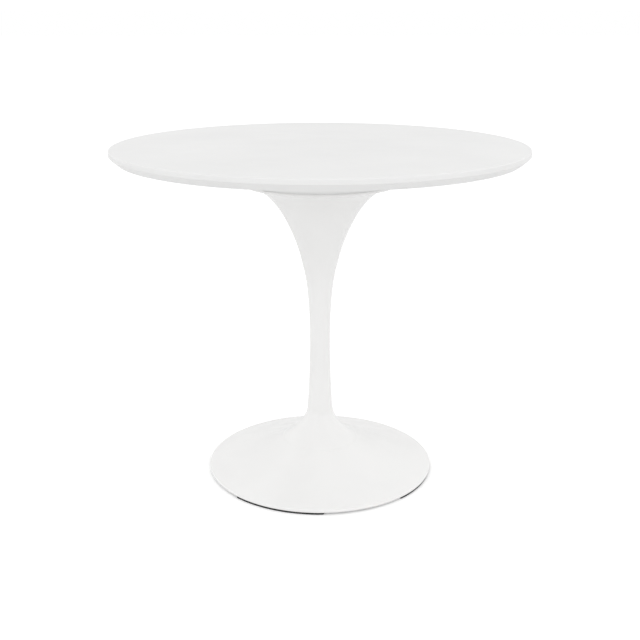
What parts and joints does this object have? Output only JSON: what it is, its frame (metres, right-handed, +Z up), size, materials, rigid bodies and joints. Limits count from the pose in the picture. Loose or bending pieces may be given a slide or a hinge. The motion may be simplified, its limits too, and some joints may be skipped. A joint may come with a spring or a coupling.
{
  "type": "round pedestal table",
  "caption": "Round white table: bevelled round top on a hollow trumpet-shaped stem and a low domed round base on four black floor pads.",
  "frame": {"origin": "on the table's axis at floor level", "axes": "+Z up along the stem; +X to the right and +Y away from the viewer of the front"},
  "size_m": [0.9, 0.9, 0.752],
  "materials": {
    "board_lacquer": "white satin lacquer on fibreboard",
    "metal_lacquer": "white gloss powder coat with a fine orange peel",
    "zinc_steel": "bright zinc plate",
    "brass": "machined brass",
    "cast_iron": "rough casting, black primer",
    "black_rubber": "matt black rubber",
    "foam": "white closed-cell foam"
  },
  "bodies": {
    "root": {"tabletop": "board_lacquer", "hub_disc_upper": "board_lacquer", "hub_disc_lower": "board_lacquer", "hub_screw_1": "zinc_steel", "hub_screw_2": "zinc_steel", "hub_screw_3": "zinc_steel", "hub_screw_4": "zinc_steel", "hub_screw_5": "zinc_steel", "hub_screw_6": "zinc_steel", "hub_screw_7": "zinc_steel", "hub_screw_8": "zinc_steel", "threaded_insert_1": "brass", "threaded_insert_2": "brass", "threaded_insert_3": "brass", "threaded_insert_4": "brass", "threaded_insert_5": "brass", "threaded_insert_6": "brass", "mounting_plate": "zinc_steel", "mounting_screw_1": "zinc_steel", "mounting_screw_2": "zinc_steel", "mounting_screw_3": "zinc_steel", "mounting_screw_4": "zinc_steel", "mounting_screw_5": "zinc_steel", "mounting_screw_6": "zinc_steel", "coupling_nut": "zinc_steel", "bell_gasket": "foam", "stem": "metal_lacquer", "tie_rod": "zinc_steel", "locating_pin_1": "zinc_steel", "locating_pin_2": "zinc_steel", "base": "metal_lacquer", "clamp_washer": "zinc_steel", "spring_washer": "zinc_steel", "tie_rod_nut": "zinc_steel", "ballast_ring": "cast_iron", "ballast_washer_1": "zinc_steel", "ballast_washer_2": "zinc_steel", "ballast_washer_3": "zinc_steel", "ballast_washer_4": "zinc_steel", "ballast_screw_1": "zinc_steel", "ballast_screw_2": "zinc_steel", "ballast_screw_3": "zinc_steel", "ballast_screw_4": "zinc_steel", "floor_pad_1": "black_rubber", "floor_pad_2": "black_rubber", "floor_pad_3": "black_rubber", "floor_pad_4": "black_rubber"}
  },
  "joints": []
}
